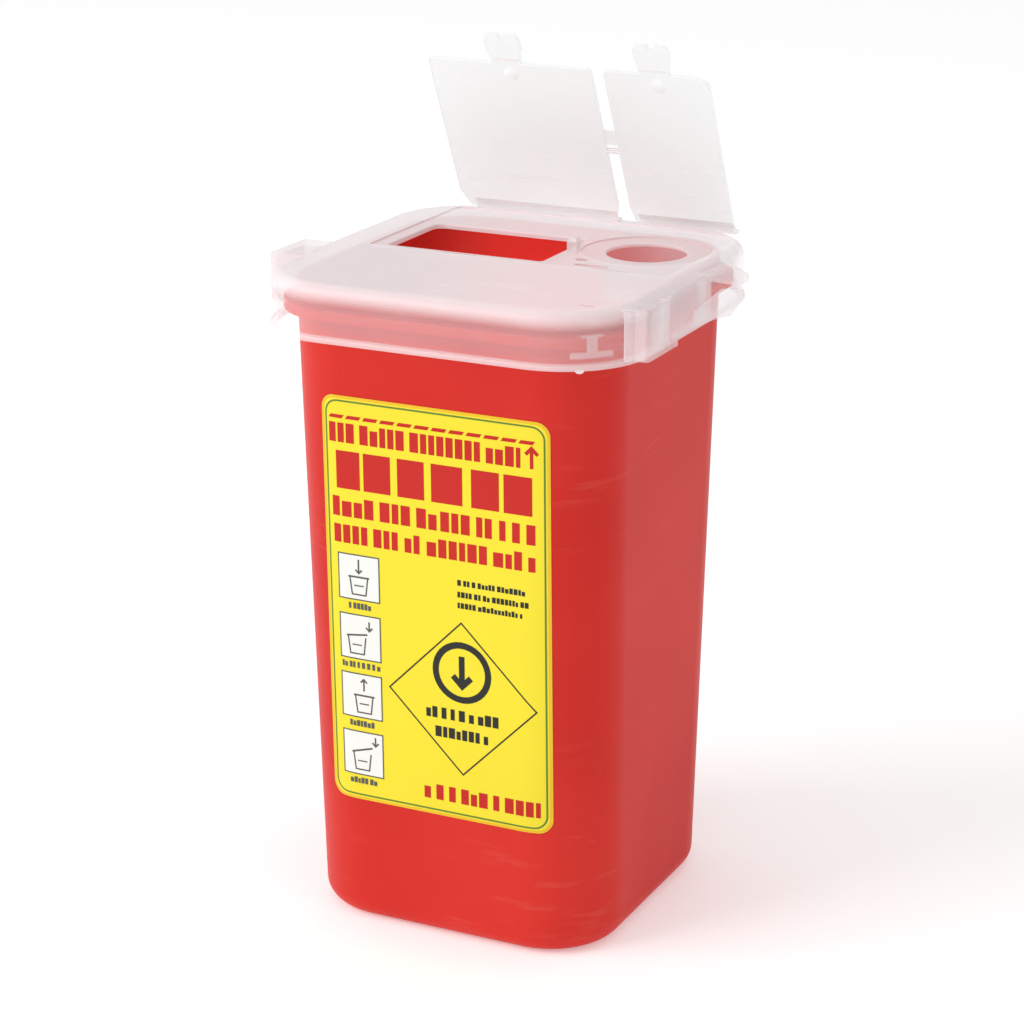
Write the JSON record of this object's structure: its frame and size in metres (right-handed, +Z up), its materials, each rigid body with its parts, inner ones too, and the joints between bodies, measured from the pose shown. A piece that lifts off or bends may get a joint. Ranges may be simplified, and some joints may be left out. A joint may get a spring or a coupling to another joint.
{
  "type": "sharps container",
  "caption": "Square tapered tub with a press-on frosted lid, a drop opening and a round port under two linked hinged flaps with locking tabs.",
  "frame": {"origin": "middle of the tub's foot, on the surface it stands on", "axes": "+Z up; the labelled front faces -Y and the lid's hinge line is towards +Y; +X is to the right seen from the front"},
  "size_m": [0.1033, 0.0898, 0.1954],
  "materials": {
    "red_plastic": "satin moulded polypropylene",
    "frosted_plastic": "frosted translucent polypropylene",
    "flap_plastic": "frosted translucent polypropylene",
    "label_stock": "printed self-adhesive film"
  },
  "bodies": {
    "tub": {"tub": "red_plastic", "label": "label_stock"},
    "lid": {"lid": "frosted_plastic", "port_sleeve": "frosted_plastic", "snap_catches": "frosted_plastic", "left_wing": "frosted_plastic", "right_wing": "frosted_plastic", "large_hinge_ridge": "frosted_plastic", "small_hinge_ridge": "frosted_plastic", "divider_post": "frosted_plastic"},
    "large_flap": {"large_flap": "flap_plastic", "flap_bridge": "flap_plastic"},
    "small_flap": {"small_flap": "flap_plastic"},
    "large_tab": {"large_tab": "flap_plastic"},
    "small_tab": {"small_tab": "flap_plastic"}
  },
  "joints": [
    {"name": "lid_lift", "type": "slide", "parent": "tub", "child": "lid", "axis": [0, 0, 1], "range_m": [0, 0.06]},
    {"name": "large_flap_hinge", "type": "hinge", "parent": "lid", "child": "large_flap", "pos_m": [0, 0.0388, 0.1513], "axis": [-1, 0, 0], "range_deg": [-64.5, 115.5]},
    {"name": "small_flap_hinge", "type": "hinge", "parent": "lid", "child": "small_flap", "pos_m": [0, 0.0388, 0.1513], "axis": [-1, 0, 0], "range_deg": [-64.5, 115.5]},
    {"name": "large_tab_fold", "type": "hinge", "parent": "large_flap", "child": "large_tab", "pos_m": [0, 0.01969, 0.18905], "axis": [1, 0, 0], "range_deg": [0, 90]},
    {"name": "small_tab_fold", "type": "hinge", "parent": "small_flap", "child": "small_tab", "pos_m": [0, 0.01969, 0.18905], "axis": [1, 0, 0], "range_deg": [0, 90]}
  ],
  "couplings": [
    {"joint": "small_flap_hinge", "follows": "large_flap_hinge", "ratio": 1}
  ]
}
